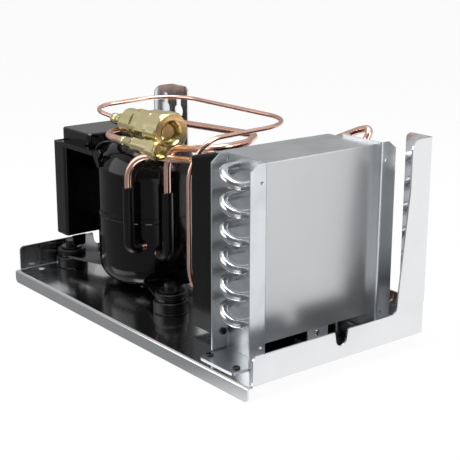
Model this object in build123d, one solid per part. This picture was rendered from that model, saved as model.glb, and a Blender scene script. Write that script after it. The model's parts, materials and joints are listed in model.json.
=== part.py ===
"""Refrigeration condensing unit with a hermetic compressor, a fan-blown coil and two
self-sealing couplings, on a folded sheet tray that hangs by two keyhole arms.

Millimetres. X runs along the long front edge, Y from the front lip to the wall, Z up.
The origin is under the middle of the tray, level with the lower edge of its front lip.
"""
from build123d import *
import math
import os

# ---------------------------------------------------------------- tray
TRAY_LENGTH = 362.0
TRAY_DEPTH = 192.0
SHEET = 1.5
BEND = 2.5
LIP_DROP = 12.0
STRIP_HEIGHT = 23.0
BACK_STRIP_HEIGHT = 26.4
LIP_SETBACK = 5.5
LIP_CORNER = 4.0
ARM_TOP = 166.8
ARM_WIDTH = 23.5
ARM_FOOT_WIDTH = 33.5
ARM_FLANGE = 28.3
ARM_CORNER = 9.0
ARM_RELIEF = 0.8
KEYHOLE_INSET = 13.2
KEYHOLE_HEIGHT = 140.0
KEYHOLE_R = 7.0
KEYHOLE_SLOT_R = 3.6
KEYHOLE_RISE = 13.0
NOTCH_R = 6.0
NOTCH_DEPTH = 12.5
FLOOR_HOLE_R = 3.5
FLOOR_HOLE_INSET_X = 11.4
FLOOR_HOLE_INSET_Y = 22.8

FLOOR = LIP_DROP
HALF_LENGTH = TRAY_LENGTH / 2
FRONT = -TRAY_DEPTH / 2
BACK = TRAY_DEPTH / 2

# ---------------------------------------------------------------- coil
COIL_FACE_X = 156.0
PLATE_DEPTH = 48.2
PLATE_SHEET = 1.2
PLATE_BEND = 1.8
PLATE_FLANGE = 16.5
PLATE_TOP = FLOOR + 162.0
FIN_LENGTH = 120.0
COIL_MIDDLE_Y = 2.9
FOOT_WIDTH = 31.7
REAR_FOOT_WIDTH = 28.0
FOOT_SCREW_Y = 23.5
TUBE_R = 4.0
TUBE_PITCH = 22.0
TUBES_PER_ROW = 6
ROW_PITCH = 19.05
FIN_DEPTH = 2 * ROW_PITCH
FIN_RECESS = 7.4
FIN_BOTTOM = FLOOR + 14.8
FIN_HEIGHT = (TUBES_PER_ROW + 0.5) * TUBE_PITCH + 1.0
BEND_STRAIGHT = 6.5
TOP_COVER = 1.0
TOP_COVER_BACK_X = 93.0
TUBE_STUB = 4.0

COIL_BACK_X = COIL_FACE_X - PLATE_DEPTH
FRONT_PLATE_Y = COIL_MIDDLE_Y - FIN_LENGTH / 2
REAR_PLATE_Y = COIL_MIDDLE_Y + FIN_LENGTH / 2
FIN_FACE_X = COIL_FACE_X - FIN_RECESS
ROW_B_X = FIN_FACE_X - ROW_PITCH / 2
ROW_A_X = ROW_B_X - ROW_PITCH
ROW_A_TOP = FIN_BOTTOM + FIN_HEIGHT - 0.5 - TUBE_PITCH / 4
ROW_B_TOP = ROW_A_TOP - TUBE_PITCH / 2

# ---------------------------------------------------------------- support bracket
BRACKET_SHEET = 1.5
BRACKET_WIDTH = 22.0
BRACKET_Y = 8.0
BRACKET_GAP = 1.0
BRACKET_FOOT = 16.0

# ---------------------------------------------------------------- fan and shroud
SHROUD_FRONT_X = 60.6
SHROUD_WALL = 2.0
SHROUD_CORNER = 5.0
SHROUD_BOTTOM = FLOOR + 5.5
SHROUD_TOP = FLOOR + 151.5
SHROUD_RISE = 7.3
SHROUD_SLOPE_X = 91.0
SHROUD_TAB = 6.0
FAN_SIZE = 110.0
FAN_DEPTH = 25.4
FAN_BORE_R = 52.5
FAN_TIP_GAP = 1.2
FAN_BLADES = 7
FAN_HUB_R = 20.0
FAN_HOLE_PITCH = 97.0
FAN_SHAFT_R = 2.0
FAN_RUNNING_GAP = 0.05
FAN_STATOR_R = 15.0
FAN_Y = COIL_MIDDLE_Y
FAN_Z = (SHROUD_BOTTOM + SHROUD_TOP) / 2
GUARD_WIRE_R = 0.9
GUARD_RINGS = 4

# ---------------------------------------------------------------- compressor
COMP_X = -76.5
COMP_Y = -8.0
SHELL_A = 51.0
SHELL_B = 45.0
SHELL_WALL = 2.8
SHELL_BOTTOM = FLOOR + 3.0
SHELL_TOP = FLOOR + 137.0
SEAM_Z = FLOOR + 70.0
SEAM_LAP = 5.0
LID_FILLET = 30.0
BOWL_FILLET = 20.0
FOOT_PITCH_X = 170.0
FOOT_PITCH_Y = 70.0
BASE_SHEET = 2.5
BASE_Z = FLOOR + 11.0
BASE_TOP = BASE_Z + BASE_SHEET
BASE_ARM = 24.0
GROMMET_R = 15.5
GROMMET_LIP_R = 14.0
GROMMET_NECK_R = 8.0
GROMMET_LIP = 5.0
SLEEVE_R = 5.0
BOLT_R = 3.0
BOLT_HEAD = 5.5
BOLT_HEAD_R = 5.5

# ---------------------------------------------------------------- control unit
BODY_LEFT = -174.0
BODY_THICK = 21.0
BODY_FRONT_Y = -52.0
BODY_WIDTH = 84.0
BODY_BOTTOM = 45.0
BODY_TOP = 138.0
CAP_TOP = 150.5
CAP_RIGHT = -122.0
CAP_FRONT_Y = -43.0
CAP_WIDTH = 72.0
RAIL_FRONT_Y = -53.5
RAIL_RIGHT = -98.0

# ---------------------------------------------------------------- couplings and pipes
UPPER_Y = -25.0
UPPER_Z = 166.5
UPPER_MOUTH_X = -12.0
LOWER_Y = -48.0
LOWER_Z = 156.0
LOWER_MOUTH_X = 5.0
THICK_PIPE_R = 3.2
THIN_PIPE_R = 2.0
SLEEVE_PIPE_R = 5.0
NUT_GAP = 0.3
UPPER_SOCKET = 15.0
LOWER_SOCKET = 4.5


def box(x0, x1, y0, y1, z0, z1):
    """A block between two corners."""
    return Pos((x0 + x1) / 2, (y0 + y1) / 2, (z0 + z1) / 2) * Box(abs(x1 - x0), abs(y1 - y0), abs(z1 - z0))


def rod(start, end, r):
    """A round bar from one point to another."""
    line = Vector(*end) - Vector(*start)
    plane = Plane(origin=start, z_dir=line.normalized())
    return extrude(plane * Circle(r), line.length)


def along_x(face_maker, x0, x1):
    """Extrude a sketch, drawn with Y to the right and Z up, from x0 to x1."""
    return extrude(Plane(origin=(x0, 0, 0), x_dir=(0, 1, 0), z_dir=(1, 0, 0)) * face_maker, x1 - x0)


def along_y(face_maker, y0, y1):
    """Extrude a sketch, drawn with X to the right and Z up, from y0 to y1."""
    return extrude(Plane(origin=(0, y1, 0), x_dir=(1, 0, 0), z_dir=(0, -1, 0)) * face_maker, y1 - y0)


def along_z(face_maker, z0, z1):
    """Extrude a sketch, drawn with X to the right and Y up, from z0 to z1."""
    return extrude(Plane(origin=(0, 0, z0)) * face_maker, z1 - z0)


def outline(*points):
    """A flat face through the given corners, kept where it was drawn."""
    return make_face(Polyline(*points, close=True))


def rounded(x0, x1, y0, y1, r_low_left=0, r_low_right=0, r_high_left=0, r_high_right=0):
    """A flat rectangle between two corners with its own radius at each corner."""
    corners = [(x0, y0), (x1, y0), (x1, y1), (x0, y1)]
    radii = [r_low_left, r_low_right, r_high_right, r_high_left]
    face = outline(*corners)
    for corner, r in zip(corners, radii):
        if r > 0:
            vertex = face.vertices().sort_by_distance((*corner, 0))[0]
            face = fillet(vertex, r)
    return face


def turned(profile, origin, x_dir=(0, 0, 1)):
    """Revolve a half profile, drawn as (distance along, radius), about an X-wise axis."""
    face = outline(*profile)
    solid = revolve(face, Axis.X)
    return Pos(*origin) * solid


def hexagon_x(across_flats, x0, x1, y, z):
    """A hexagonal bar along X."""
    r = across_flats / math.sqrt(3)
    return along_x(Pos(y, z) * RegularPolygon(r, 6), x0, x1)


def bend_radii(points, bend):
    """The bend radius at each corner, kept small enough for the runs beside it."""
    radii = []
    for a, b, c in zip(points, points[1:], points[2:]):
        back = Vector(*a) - Vector(*b)
        ahead = Vector(*c) - Vector(*b)
        half = math.radians(back.get_angle(ahead)) / 2
        room = 0.48 * min(back.length, ahead.length)
        radii.append(min(bend, room * math.tan(half)))
    return radii


def pipe(points, bend, r, radii=None):
    """A round pipe along straight runs joined by arcs."""
    path = FilletPolyline(*points, radius=radii or bend_radii(points, bend))
    section = Plane(origin=path @ 0, z_dir=path % 0) * Circle(r)
    return sweep(section, path=path)


# ---------------------------------------------------------------- tray
def side_outline():
    """The outline of a side strip and its wall arm, seen along X."""
    z_floor = FLOOR - SHEET
    z_strip = FLOOR + STRIP_HEIGHT
    z_arm = FLOOR + ARM_TOP
    z_relief = FLOOR + BACK_STRIP_HEIGHT + ARM_RELIEF
    arm_front = BACK - ARM_WIDTH
    face = outline(
        (FRONT + LIP_SETBACK, z_floor + BEND),
        (BACK - BEND, z_floor + BEND),
        (BACK - BEND, z_relief),
        (BACK, z_relief),
        (BACK, z_arm),
        (arm_front, z_arm),
        (arm_front, z_arm - 40),
        (BACK - ARM_FOOT_WIDTH, z_strip + 7),
        (BACK - ARM_FOOT_WIDTH, z_strip),
        (FRONT + LIP_SETBACK, z_strip))
    rounds = [((FRONT + LIP_SETBACK, z_strip), LIP_CORNER),
              ((arm_front, z_arm), ARM_CORNER),
              ((arm_front, z_arm - 40), 60.0),
              ((BACK - ARM_FOOT_WIDTH, z_strip), 6.0)]
    for corner, r in rounds:
        vertex = face.vertices().sort_by_distance((*corner, 0))[0]
        face = fillet(vertex, r)
    notch = Pos(0, z_strip - NOTCH_DEPTH + NOTCH_R) * Circle(NOTCH_R)
    notch += outline((-NOTCH_R, z_strip - NOTCH_DEPTH + NOTCH_R), (NOTCH_R, z_strip - NOTCH_DEPTH + NOTCH_R),
                     (NOTCH_R + 1.5, z_strip + 1), (-NOTCH_R - 1.5, z_strip + 1))
    return face - notch


def keyhole(x):
    """A keyhole, round below with a narrow slot above."""
    z = FLOOR + KEYHOLE_HEIGHT
    face = Pos(x, z) * Circle(KEYHOLE_R)
    face += Pos(x, z + KEYHOLE_RISE) * Circle(KEYHOLE_SLOT_R)
    face += outline((x - KEYHOLE_SLOT_R, z), (x + KEYHOLE_SLOT_R, z),
                    (x + KEYHOLE_SLOT_R, z + KEYHOLE_RISE), (x - KEYHOLE_SLOT_R, z + KEYHOLE_RISE))
    return face


def tray():
    z0 = FLOOR - SHEET
    z_strip = FLOOR + STRIP_HEIGHT
    # floor with both side bends
    channel = rounded(-HALF_LENGTH, HALF_LENGTH, z0, z_strip, BEND, BEND)
    channel -= rounded(-HALF_LENGTH + SHEET, HALF_LENGTH - SHEET, FLOOR, z_strip + 1,
                       BEND - SHEET, BEND - SHEET)
    solid = along_y(channel, FRONT + LIP_SETBACK, BACK - BEND)
    # front lip, bent down
    lip = rounded(FRONT, FRONT + LIP_SETBACK, 0, FLOOR, 0, 0, BEND, 0)
    lip -= rounded(FRONT + SHEET, FRONT + LIP_SETBACK + 1, -1, z0, 0, 0, BEND - SHEET, 0)
    lip = along_x(lip, -HALF_LENGTH, HALF_LENGTH)
    lip_shape = rounded(-HALF_LENGTH, HALF_LENGTH, 0, FLOOR, LIP_CORNER, LIP_CORNER, 2, 2)
    solid += lip & along_y(lip_shape, FRONT - 1, FRONT + LIP_SETBACK + 1)
    # back strip, bent up
    z_back = FLOOR + BACK_STRIP_HEIGHT
    strip = rounded(BACK - BEND, BACK, z0, z_back, 0, BEND)
    strip -= rounded(BACK - BEND - 1, BACK - SHEET, FLOOR, z_back + 1, 0, BEND - SHEET)
    inside = HALF_LENGTH - SHEET - 0.5
    solid += along_x(strip, -inside, inside)
    # side strips and arms
    for side in (-1, 1):
        wall = HALF_LENGTH * side
        inner = wall - side * SHEET
        leg = rounded(min(wall, wall - side * ARM_FLANGE), max(wall, wall - side * ARM_FLANGE),
                      FRONT, BACK, 0, 0, BEND if side < 0 else 0, BEND if side > 0 else 0)
        far = wall - side * (ARM_FLANGE + 1)
        leg -= rounded(min(inner, far), max(inner, far), FRONT - 1, BACK - SHEET, 0, 0,
                       BEND - SHEET if side < 0 else 0, BEND - SHEET if side > 0 else 0)
        arm = along_z(leg, z0, FLOOR + ARM_TOP)
        arm &= along_x(side_outline(), -HALF_LENGTH - 1, HALF_LENGTH + 1)
        edge = wall - side * ARM_FLANGE
        trim = rounded(min(wall, edge), max(wall, edge), z0, FLOOR + ARM_TOP, 0, 0,
                       5 if side > 0 else 0, 5 if side < 0 else 0)
        trim -= keyhole(side * (HALF_LENGTH - KEYHOLE_INSET))
        arm -= along_y(outline((wall + side, z0 - 1), (edge - side, z0 - 1), (edge - side, FLOOR + ARM_TOP + 1),
                               (wall + side, FLOOR + ARM_TOP + 1)) - trim, BACK - SHEET - 0.2, BACK + 1)
        strip_cut = box(wall - 2 * SHEET, wall + 2 * SHEET, FRONT - 1, BACK + 1, z0 - 1, z_strip + 1)
        solid -= strip_cut & box(wall - 2 * SHEET, wall + 2 * SHEET, FRONT - 1, BACK + 1, z0 + BEND, z_strip + 1)
        solid += arm
    # floor holes
    for sx in (-1, 1):
        for sy in (-1, 1):
            x = sx * (HALF_LENGTH - FLOOR_HOLE_INSET_X)
            y = sy * (BACK - FLOOR_HOLE_INSET_Y)
            solid -= Pos(x, y, FLOOR) * Cylinder(FLOOR_HOLE_R, 4 * SHEET)
    # holes for the screws that come from above
    for x, y, r in floor_fixings():
        solid -= Pos(x, y, FLOOR) * Cylinder(r, 4 * SHEET)
    return solid


def floor_fixings():
    """Clearance holes in the floor for the feet, as (x, y, radius)."""
    holes = []
    for sx in (-1, 1):
        for sy in (-1, 1):
            holes.append((COMP_X + sx * FOOT_PITCH_X / 2, COMP_Y + sy * FOOT_PITCH_Y / 2, BOLT_R))
    for y in foot_screw_rows():
        for x in foot_screw_columns():
            holes.append((x, y, 1.6))
    return holes


# ---------------------------------------------------------------- coil
def foot_screw_columns():
    return [COIL_BACK_X + 7.0, COIL_FACE_X - 7.2]


def foot_screw_rows():
    return [FRONT_PLATE_Y - FOOT_SCREW_Y, REAR_PLATE_Y + FOOT_SCREW_Y]


def tube_places():
    """Tube centres as pairs (x, z): row A nearest the fan, then row B."""
    pairs = []
    for k in range(TUBES_PER_ROW):
        a = (ROW_A_X, ROW_A_TOP - k * TUBE_PITCH)
        b = (ROW_B_X, ROW_B_TOP - k * TUBE_PITCH)
        pairs.append((a, b))
    return pairs


def end_plate(sign):
    """A tube sheet: web, two flanges and a foot, all bent away from the fins."""
    y = FRONT_PLATE_Y if sign < 0 else REAR_PLATE_Y
    foot_width = FOOT_WIDTH if sign < 0 else REAR_FOOT_WIDTH
    z0 = FLOOR
    # channel seen from above, drawn for the front plate
    outer = rounded(COIL_BACK_X, COIL_FACE_X, y - PLATE_FLANGE, y, 0, 0, PLATE_BEND, PLATE_BEND)
    outer -= rounded(COIL_BACK_X + PLATE_SHEET, COIL_FACE_X - PLATE_SHEET, y - PLATE_FLANGE - 1,
                     y - PLATE_SHEET, 0, 0, PLATE_BEND - PLATE_SHEET, PLATE_BEND - PLATE_SHEET)
    solid = along_z(outer, z0, PLATE_TOP)
    profile = outline((y + 1, z0), (y + 1, PLATE_TOP + 1), (y - PLATE_FLANGE + 10, PLATE_TOP + 1),
                      (y - PLATE_FLANGE + 8, PLATE_TOP), (y - PLATE_FLANGE, PLATE_TOP - 6),
                      (y - PLATE_FLANGE, z0 + 2), (y - PLATE_FLANGE + 2, z0))
    solid &= along_x(profile, COIL_BACK_X - 1, COIL_FACE_X + 1)
    # foot
    foot_x0 = COIL_BACK_X + PLATE_BEND + 1
    foot = rounded(y - foot_width, y, z0, z0 + 20, 0, PLATE_BEND)
    foot -= rounded(y - foot_width - 1, y - PLATE_SHEET, z0 + PLATE_SHEET, z0 + 21, 0, PLATE_BEND - PLATE_SHEET)
    web_cut = box(COIL_BACK_X + PLATE_BEND, COIL_FACE_X - PLATE_BEND, y - PLATE_SHEET - 0.1, y + 1, z0 - 1, z0 + 18)
    solid -= web_cut
    foot = along_x(foot, foot_x0, COIL_FACE_X - PLATE_BEND)
    foot &= along_z(rounded(foot_x0, COIL_FACE_X - PLATE_BEND, y - foot_width, y + 1, 4, 2), z0, z0 + 21)
    solid += foot
    # bend relief beside the fan-side fold
    slot_x = COIL_BACK_X + PLATE_BEND
    solid -= box(slot_x, slot_x + 1.0, y - PLATE_SHEET - 1, y + 1, PLATE_TOP - 5, PLATE_TOP + 1)
    # holes
    for pair in tube_places():
        for x, z in pair:
            solid -= Pos(x, y, z) * Rot(90, 0, 0) * Cylinder(TUBE_R + 0.05, 6)
    for z in (PLATE_TOP - 15, FLOOR + 16):
        solid -= rod((COIL_FACE_X - 3, y - 5.5, z), (COIL_FACE_X + 3, y - 5.5, z), 1.4)
        solid -= rod((COIL_BACK_X - 3, y - 5.5, z), (COIL_BACK_X + 3, y - 5.5, z), 1.6)
    for x in foot_screw_columns():
        solid -= Pos(x, y - FOOT_SCREW_Y, z0) * Cylinder(1.9, 10)
    if sign > 0:
        solid = solid.mirror(Plane(origin=(0, REAR_PLATE_Y, 0), z_dir=(0, 1, 0)))
    return solid


def fin_pack():
    y0 = FRONT_PLATE_Y
    y1 = REAR_PLATE_Y
    solid = box(FIN_FACE_X - FIN_DEPTH, FIN_FACE_X, y0, y1, FIN_BOTTOM, FIN_BOTTOM + FIN_HEIGHT)
    for pair in tube_places():
        for x, z in pair:
            solid -= rod((x, y0 - 1, z), (x, y1 + 1, z), TUBE_R + 0.05)
    return solid


def hairpins():
    """Six tubes, each bent once at the front."""
    parts = []
    y_bend = FRONT_PLATE_Y - PLATE_SHEET - BEND_STRAIGHT
    y_end = REAR_PLATE_Y + PLATE_SHEET + TUBE_STUB
    for (ax, az), (bx, bz) in tube_places():
        r = math.hypot(ax - bx, az - bz) / 2
        mid = ((ax + bx) / 2, y_bend - r, (az + bz) / 2)
        path = Line((ax, y_end, az), (ax, y_bend, az))
        path += ThreePointArc((ax, y_bend, az), mid, (bx, y_bend, bz))
        path += Line((bx, y_bend, bz), (bx, y_end, bz))
        parts.append(tube_sweep(path))
    return Compound(children=parts)


def tube_sweep(path):
    wire = Wire(path.edges()) if not isinstance(path, Wire) else path
    section = Plane(origin=wire @ 0, z_dir=wire % 0) * Circle(TUBE_R)
    return sweep(section, path=wire)


def return_bends():
    """Bends at the rear that join one hairpin to the next."""
    parts = []
    places = tube_places()
    y0 = REAR_PLATE_Y + PLATE_SHEET + TUBE_STUB
    for k in range(TUBES_PER_ROW - 1):
        bx, bz = places[k][1]
        ax, az = places[k + 1][0]
        r = math.hypot(ax - bx, az - bz) / 2
        mid = ((ax + bx) / 2, y0 + 1 + r, (az + bz) / 2)
        path = Line((bx, y0, bz), (bx, y0 + 1, bz))
        path += ThreePointArc((bx, y0 + 1, bz), mid, (ax, y0 + 1, az))
        path += Line((ax, y0 + 1, az), (ax, y0, az))
        parts.append(tube_sweep(path))
    return Compound(children=parts)


# ---------------------------------------------------------------- screws
def screw(x, y, z, direction, head_r, head, shank_r, shank):
    """A domed screw whose head sits at the given point; the shank runs along direction."""
    d = Vector(*direction).normalized()
    tip = Vector(x, y, z) + d * shank
    back = Vector(x, y, z) - d * head
    part = rod((x, y, z), tuple(tip), shank_r) + rod(tuple(back), (x, y, z), head_r)
    rims = [e for e in part.edges().filter_by(GeomType.CIRCLE) if (e.arc_center - back).length < 0.01]
    part = fillet(rims[0], head * 0.45)
    slot = Plane(origin=tuple(back), z_dir=d)
    cross = extrude(slot * (Rectangle(head_r * 1.1, head_r * 0.28) + Rectangle(head_r * 0.28, head_r * 1.1)),
                    head * 0.5)
    return part - cross


def coil_foot_screws():
    return [screw(x, y, FLOOR + PLATE_SHEET, (0, 0, -1), 3.2, 1.8, 1.6, 5.0)
            for x in foot_screw_columns() for y in foot_screw_rows()]


def flange_screw_places():
    """Centres of the screws that hold the shroud to the two end plates."""
    ys = (FRONT_PLATE_Y - 5.5, REAR_PLATE_Y + 5.5)
    return [(y, z) for y in ys for z in (PLATE_TOP - 15, FLOOR + 16)]


def shroud_screws():
    x = COIL_BACK_X + PLATE_SHEET
    return [screw(x, y, z, (-1, 0, 0), 3.0, 1.7, 1.6, 5.5) for y, z in flange_screw_places()]


# ---------------------------------------------------------------- support bracket
BRACKET_X = FIN_FACE_X - 3.5


def support_bracket():
    """An upright tab with a foot, standing under the fins."""
    y0 = BRACKET_Y - BRACKET_WIDTH / 2
    y1 = BRACKET_Y + BRACKET_WIDTH / 2
    top = FIN_BOTTOM - BRACKET_GAP + 0.8
    shape = rounded(BRACKET_X - BRACKET_FOOT, BRACKET_X, FLOOR, top, 0, 2.5)
    shape -= rounded(BRACKET_X - BRACKET_FOOT - 1, BRACKET_X - BRACKET_SHEET, FLOOR + BRACKET_SHEET, top + 1,
                     0, 1.0)
    part = along_y(shape, y0, y1)
    part &= along_x(rounded(y0, y1, FLOOR, top, 0, 0, 2, 2), BRACKET_X - BRACKET_FOOT - 1, BRACKET_X + 1)
    part -= rod((BRACKET_X - 4, BRACKET_Y - 2, FLOOR + 9.5), (BRACKET_X + 4, BRACKET_Y - 2, FLOOR + 9.5), 1.6)
    return part


def support_bracket_screw():
    return screw(BRACKET_X, BRACKET_Y - 2, FLOOR + 9.5, (-1, 0, 0), 2.8, 1.5, 1.6, 4.5)


# ---------------------------------------------------------------- shroud and fan
def fan_screw_places():
    half = FAN_HOLE_PITCH / 2
    return [(FAN_Y + sy * half, FAN_Z + sz * half) for sy in (-1, 1) for sz in (-1, 1)]


def shroud_side(inset):
    """The shroud's outline seen along Y, shrunk by the given wall."""
    x0, x1 = SHROUD_FRONT_X + inset, COIL_BACK_X + (1 if inset else 0)
    z0, z1 = SHROUD_BOTTOM + inset, SHROUD_TOP - inset
    return outline((x0, z0), (x1, z0), (x1, z1 + SHROUD_RISE), (SHROUD_SLOPE_X, z1 + SHROUD_RISE), (x0, z1))


def fan_shroud():
    """A tapered box open to the coil, with a round mouth for the fan and two side flanges."""
    y0, y1 = FRONT_PLATE_Y, REAR_PLATE_Y
    w = SHROUD_WALL
    part = along_y(shroud_side(0), y0, y1)
    part = fillet(part.edges().filter_by(GeomType.LINE).filter_by(
        lambda e: abs(e.center().Y - y0) < 0.01 and e.center().Z > SHROUD_TOP - 1
        or abs(e.center().Y - y1) < 0.01 and e.center().Z > SHROUD_TOP - 1).filter_by(
        lambda e: e.center().X < COIL_BACK_X - 0.5), SHROUD_CORNER - w)
    part -= along_y(shroud_side(w), y0 + w, y1 - w)
    for a, b in ((y0 - 12, y0 + w), (y1 - w, y1 + 12)):
        part += along_x(rounded(a, b, SHROUD_BOTTOM + 4, SHROUD_TOP, 2, 2, 2, 2), COIL_BACK_X - w, COIL_BACK_X)
    part -= along_x(Pos(FAN_Y, FAN_Z) * Circle(FAN_BORE_R + 1), SHROUD_FRONT_X - 1, SHROUD_FRONT_X + w + 1)
    for y, z in fan_screw_places():
        part -= rod((SHROUD_FRONT_X - 1, y, z), (SHROUD_FRONT_X + w + 1, y, z), 2.0)
    for y, z in flange_screw_places():
        part -= rod((COIL_BACK_X - w - 1, y, z), (COIL_BACK_X + 1, y, z), 1.6)
    return part


def top_cover():
    """A thin lid over the fins that laps onto the top of the shroud."""
    z = FIN_BOTTOM + FIN_HEIGHT
    return box(TOP_COVER_BACK_X, FIN_FACE_X, FRONT_PLATE_Y, REAR_PLATE_Y, z, z + TOP_COVER)


FAN_X0 = SHROUD_FRONT_X + SHROUD_WALL
FAN_X1 = FAN_X0 + FAN_DEPTH
FAN_FLANGE = 4.0
SEAT_X = FAN_X0 + 3.0
HUB_END_X = FAN_X1 - 1.5


def fan_frame():
    half = FAN_SIZE / 2
    corners = rounded(FAN_Y - half, FAN_Y + half, FAN_Z - half, FAN_Z + half, 5, 5, 5, 5)
    part = along_x(corners, FAN_X0, FAN_X0 + FAN_FLANGE)
    part += along_x(corners, FAN_X1 - FAN_FLANGE, FAN_X1)
    duct = Pos(FAN_Y, FAN_Z) * Circle(FAN_BORE_R + 2.0)
    part += along_x(duct, FAN_X0, FAN_X1)
    part -= along_x(Pos(FAN_Y, FAN_Z) * Circle(FAN_BORE_R), FAN_X0 - 1, FAN_X1 + 1)
    for k in range(4):
        arm = Rot(0, 0, 45 + 90 * k) * Pos(FAN_BORE_R / 2 + 4, 0) * Rectangle(FAN_BORE_R - 4, 5.0)
        part += along_x(Pos(FAN_Y, FAN_Z) * arm, FAN_X0, SEAT_X)
    part += along_x(Pos(FAN_Y, FAN_Z) * Circle(FAN_HUB_R), FAN_X0, SEAT_X)
    part += along_x(Pos(FAN_Y, FAN_Z) * Circle(6.0), FAN_X0, HUB_END_X - 5.0)
    part -= along_x(Pos(FAN_Y, FAN_Z) * Circle(4.0), SEAT_X, FAN_X1)
    for y, z in fan_screw_places():
        part -= rod((FAN_X0 - 1, y, z), (FAN_X0 + FAN_FLANGE + 1, y, z), 2.0)
        part -= rod((FAN_X1 - FAN_FLANGE - 1, y, z), (FAN_X1 + 1, y, z), 2.2)
    return part


def fan_bearings():
    ring = Circle(4.0) - Circle(FAN_SHAFT_R + FAN_RUNNING_GAP)
    place = Pos(FAN_Y, FAN_Z)
    return [along_x(place * ring, SEAT_X + 1.5, SEAT_X + 5.5),
            along_x(place * ring, HUB_END_X - 9.5, HUB_END_X - 5.5)]


def fan_stator():
    """A four-pole wound core on the bearing tube."""
    face = Circle(FAN_STATOR_R) - Circle(FAN_STATOR_R - 2.2)
    face += Circle(8.5) - Circle(6.0)
    for k in range(4):
        face += Rot(0, 0, 90 * k) * Pos((FAN_STATOR_R + 6) / 2 - 0.5, 0) * Rectangle(FAN_STATOR_R - 7, 4.4)
    for k in range(4):
        face -= Rot(0, 0, 45 + 90 * k) * Pos(FAN_STATOR_R, 0) * Rectangle(8, 1.6)
    return along_x(Pos(FAN_Y, FAN_Z) * face, SEAT_X + 3.0, HUB_END_X - 5.5)


def fan_rotor():
    """The hub cup with its swept blades."""
    centre = Pos(FAN_Y, FAN_Z)
    x0 = SEAT_X + 0.8
    hub = along_x(centre * Circle(FAN_HUB_R), x0, HUB_END_X)
    hub -= along_x(centre * Circle(FAN_HUB_R - 2.0), x0 - 1, HUB_END_X - 2.0)
    hub += along_x(centre * Circle(4.5), HUB_END_X - 4.5, HUB_END_X)
    hub -= along_x(centre * Circle(FAN_SHAFT_R), HUB_END_X - 6, HUB_END_X - 1.0)
    tip = FAN_BORE_R - FAN_TIP_GAP
    ring = along_x(centre * (Circle(tip) - Circle(FAN_HUB_R - 0.8)), x0 + 0.4, HUB_END_X - 0.4)
    camber = make_face(Wire([
        ThreePointArc((-11.0, -8.6), (1.2, -1.4), (11.0, 9.2)).edge(),
        Line((11.0, 9.2), (10.0, 9.9)).edge(),
        ThreePointArc((10.0, 9.9), (0.2, 0.2), (-11.0, -7.0)).edge(),
        Line((-11.0, -7.0), (-11.0, -8.6)).edge()]))
    mid_x = (x0 + HUB_END_X) / 2
    for k in range(FAN_BLADES):
        plane = Plane(origin=(mid_x, FAN_Y, FAN_Z), x_dir=(0, 1, 0), z_dir=(0, 0, 1))
        blade = extrude(Pos(0, 0, FAN_HUB_R - 3) * camber, tip - FAN_HUB_R + 6)
        blade = plane.location * blade
        blade = blade.rotate(Axis((mid_x, FAN_Y, FAN_Z), (1, 0, 0)), 360.0 * k / FAN_BLADES)
        hub += blade & ring
    return hub


def fan_magnet():
    ring = Circle(FAN_HUB_R - 2.0) - Circle(FAN_STATOR_R + 1.0)
    return along_x(Pos(FAN_Y, FAN_Z) * ring, SEAT_X + 3.0, HUB_END_X - 3.0)


def fan_shaft():
    return rod((SEAT_X + 1.0, FAN_Y, FAN_Z), (HUB_END_X - 1.0, FAN_Y, FAN_Z), FAN_SHAFT_R)


def fan_guard():
    """Rings and spokes of wire with four screw eyes."""
    r = GUARD_WIRE_R
    x_ring = SHROUD_FRONT_X - r
    x_spoke = x_ring - 1.4 * r
    part = None
    for k in range(GUARD_RINGS):
        ring_r = 14.0 + 12.5 * k
        ring = Pos(x_ring, FAN_Y, FAN_Z) * Rot(0, 90, 0) * Torus(ring_r, r)
        part = ring if part is None else part + ring
    for sy in (-1, 1):
        for sz in (-1, 1):
            d = math.sqrt(0.5)
            reach = FAN_HOLE_PITCH * d
            a = (x_spoke, FAN_Y + sy * 12 * d, FAN_Z + sz * 12 * d)
            b = (x_spoke, FAN_Y + sy * (reach - 4.3) * d, FAN_Z + sz * (reach - 4.3) * d)
            part += rod(a, b, r)
            y = FAN_Y + sy * FAN_HOLE_PITCH / 2
            z = FAN_Z + sz * FAN_HOLE_PITCH / 2
            eye = Circle(4.6) - Circle(2.0)
            part += along_x(Pos(y, z) * eye, SHROUD_FRONT_X - 2.6, SHROUD_FRONT_X)
    return part


def fan_screws():
    x = SHROUD_FRONT_X - 2.6
    return [screw(x, y, z, (1, 0, 0), 3.8, 2.2, 2.0, 2.6 + SHROUD_WALL + FAN_FLANGE)
            for y, z in fan_screw_places()]


# ---------------------------------------------------------------- compressor
SQUASH = SHELL_B / SHELL_A


def shell_blank(r, z0, z1, low, high):
    """A solid drum of oval plan with rounded ends."""
    pieces = [Line((0, z0), (r - low, z0))]
    if low > 0:
        a = math.sqrt(0.5)
        pieces.append(ThreePointArc((r - low, z0), (r - low + low * a, z0 + low - low * a), (r, z0 + low)))
    pieces.append(Line((r, z0 + low), (r, z1 - high)))
    if high > 0:
        a = math.sqrt(0.5)
        pieces.append(ThreePointArc((r, z1 - high), (r - high + high * a, z1 - high + high * a),
                                    (r - high, z1)))
    pieces.append(Line((r - high, z1), (0, z1)))
    pieces.append(Line((0, z1), (0, z0)))
    face = make_face(Wire([p.edge() for p in pieces]))
    solid = revolve(Plane.XZ * face, Axis.Z)
    return Pos(COMP_X, COMP_Y, 0) * scale(solid, by=(1, SQUASH, 1))


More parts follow.
